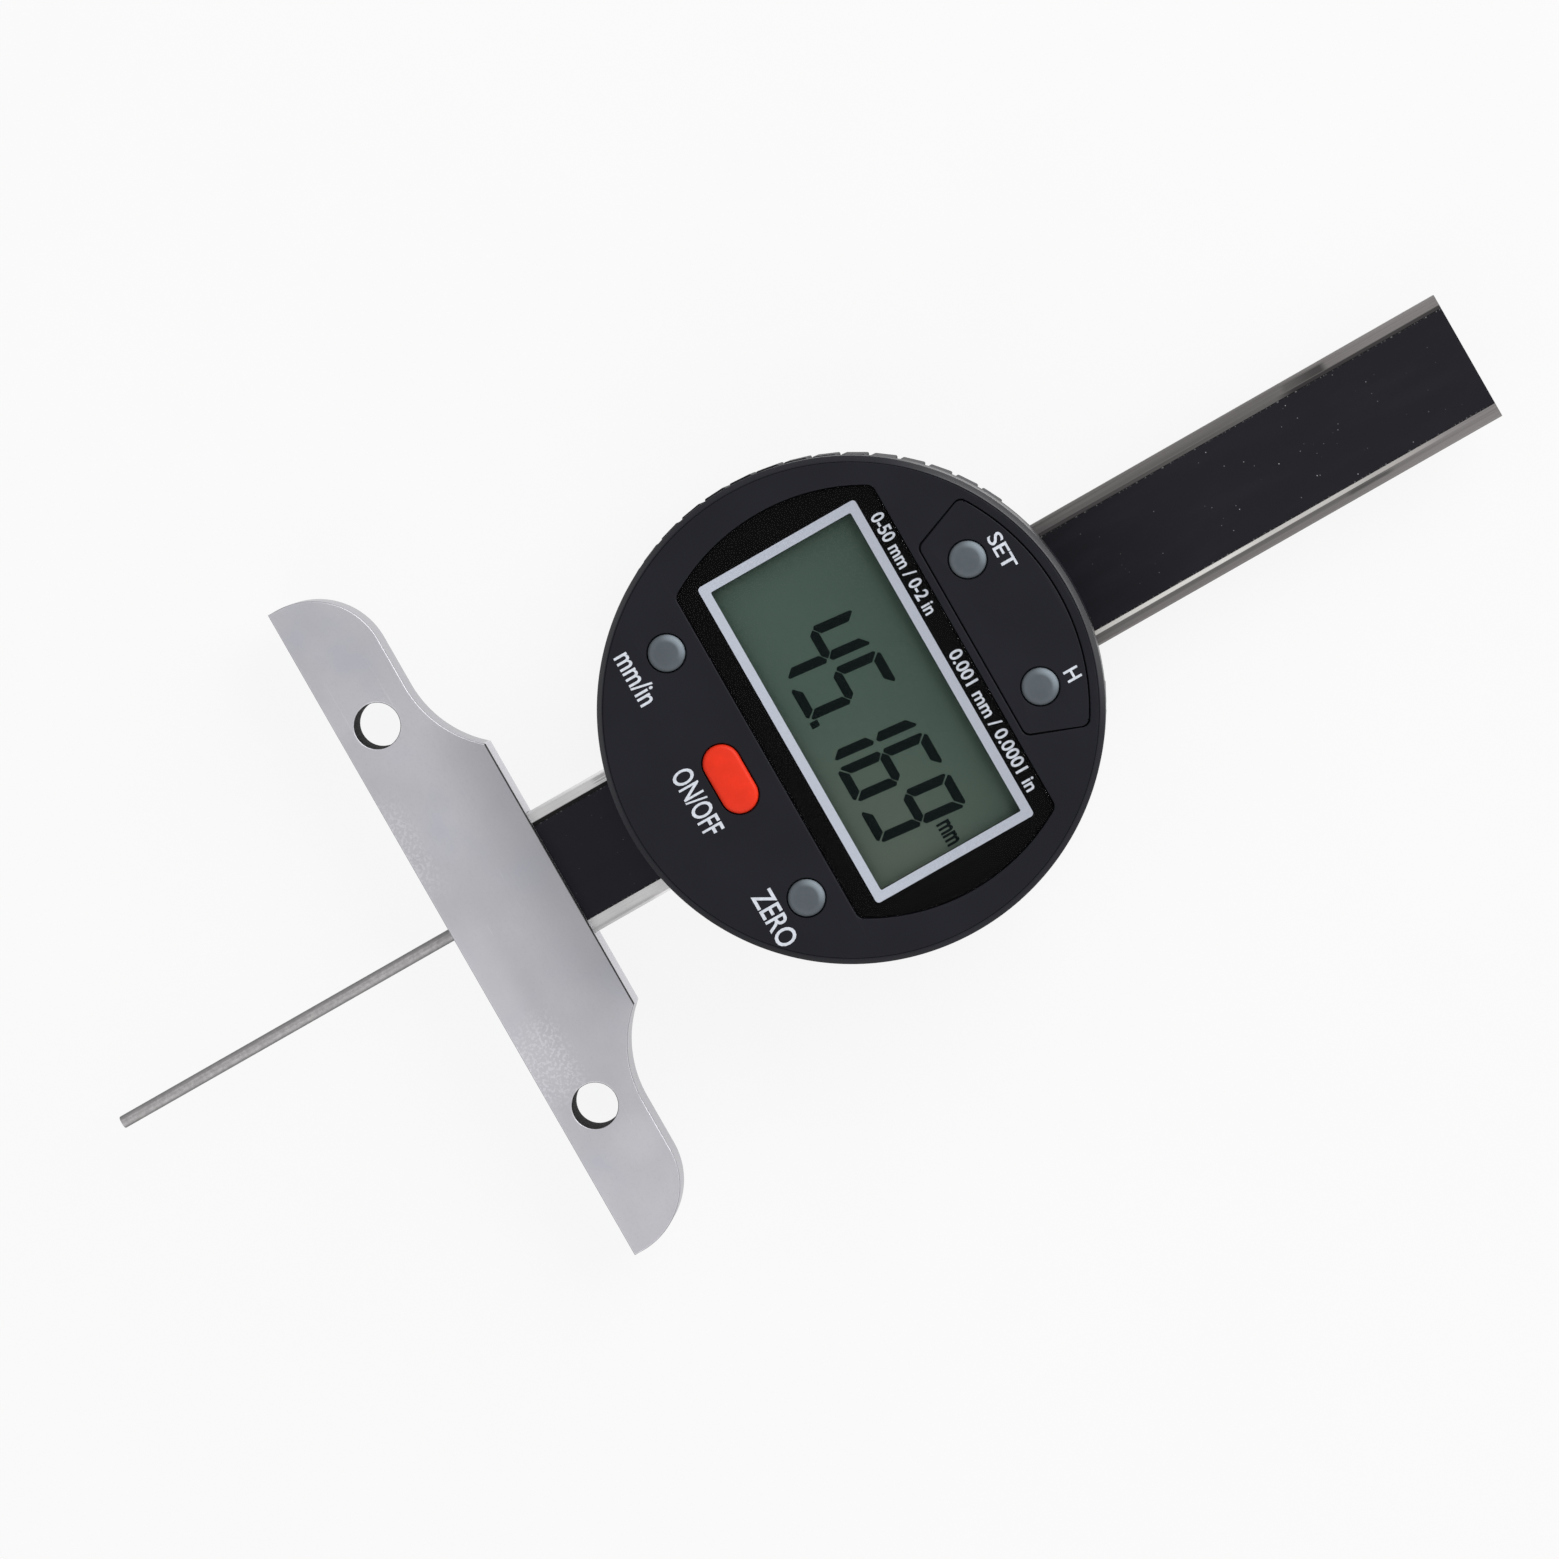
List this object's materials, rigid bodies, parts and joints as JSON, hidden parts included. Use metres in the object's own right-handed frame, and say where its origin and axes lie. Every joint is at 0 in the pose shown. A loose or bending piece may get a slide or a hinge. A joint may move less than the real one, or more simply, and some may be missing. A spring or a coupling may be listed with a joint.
{
  "type": "digital depth gauge",
  "caption": "Digital depth gauge: a flat steel base on a beam, and a round display head that slides along the beam and drives a thin measuring rod through the base.",
  "frame": {"origin": "middle of the measuring face's length, in the plane of the beam's front face", "axes": "+X along the base, +Y along the beam and away from the work, +Z out of the display"},
  "size_m": [0.086, 0.1813, 0.024],
  "materials": {
    "ground_steel": "fine ground, satin",
    "beam_steel": "milled and ground, satin",
    "screw_steel": "bright",
    "brass": "satin",
    "scale_film": "matt film with fine speckle",
    "circuit_board": "solder mask",
    "housing": "satin moulded",
    "rubber": "matt",
    "holder_white": "moulded",
    "reflector": "satin film",
    "lcd": "smooth glass cell with dark segments",
    "window": "polished, printed black behind with a clear field",
    "battery_steel": "bright",
    "grey_key": "smooth moulded",
    "red_key": "smooth moulded",
    "legend_white": "printed ink",
    "frame_silver": "printed silver"
  },
  "bodies": {
    "frame": {"base": "ground_steel", "base_screw_1": "screw_steel", "base_screw_2": "screw_steel", "beam": "beam_steel", "scale_board": "circuit_board", "scale_cover": "scale_film"},
    "head": {"slider_frame": "beam_steel", "gib_strip": "brass", "gib_screw_1": "screw_steel", "gib_screw_2": "screw_steel", "rear_plate": "beam_steel", "rear_plate_screw_1": "screw_steel", "rear_plate_screw_2": "screw_steel", "rear_plate_screw_3": "screw_steel", "rear_plate_screw_4": "screw_steel", "rod_anchor": "brass", "rod_anchor_screw_1": "screw_steel", "probe_rod": "ground_steel", "reader_board": "circuit_board", "board_connector": "housing", "case_ring": "housing", "rear_cover": "housing", "case_screw_1": "screw_steel", "case_screw_2": "screw_steel", "case_screw_3": "screw_steel", "case_screw_4": "screw_steel", "slider_fixing_screw_1": "screw_steel", "slider_fixing_screw_2": "screw_steel", "battery": "battery_steel", "battery_cap": "housing", "battery_top_contact": "brass", "battery_side_contact": "brass", "main_board": "circuit_board", "lcd_holder": "holder_white", "zebra_strip_1": "rubber", "zebra_strip_2": "rubber", "lcd_reflector": "reflector", "lcd_glass": "lcd", "window": "window", "bezel": "housing", "key_panel": "housing", "lower_key_pad": "rubber", "upper_key_pad": "rubber"},
    "unit_key": {"unit_key": "grey_key"},
    "zero_key": {"zero_key": "grey_key"},
    "set_key": {"set_key": "grey_key"},
    "hold_key": {"hold_key": "grey_key"},
    "power_key": {"power_key": "red_key"}
  },
  "joints": [
    {"name": "head_slide", "type": "slide", "parent": "frame", "child": "head", "axis": [0, 1, 0], "range_m": [-0.00563, 0.04517]},
    {"name": "unit_key_press", "type": "slide", "parent": "head", "child": "unit_key", "axis": [0, 0, -1], "range_m": [0, 0.0005], "stiffness_N_per_m": 2000, "springref_m": -0.0004},
    {"name": "zero_key_press", "type": "slide", "parent": "head", "child": "zero_key", "axis": [0, 0, -1], "range_m": [0, 0.0005], "stiffness_N_per_m": 2000, "springref_m": -0.0004},
    {"name": "set_key_press", "type": "slide", "parent": "head", "child": "set_key", "axis": [0, 0, -1], "range_m": [0, 0.0005], "stiffness_N_per_m": 2000, "springref_m": -0.0004},
    {"name": "hold_key_press", "type": "slide", "parent": "head", "child": "hold_key", "axis": [0, 0, -1], "range_m": [0, 0.0005], "stiffness_N_per_m": 2000, "springref_m": -0.0004},
    {"name": "power_key_press", "type": "slide", "parent": "head", "child": "power_key", "axis": [0, 0, -1], "range_m": [0, 0.0005], "stiffness_N_per_m": 2000, "springref_m": -0.0004}
  ]
}
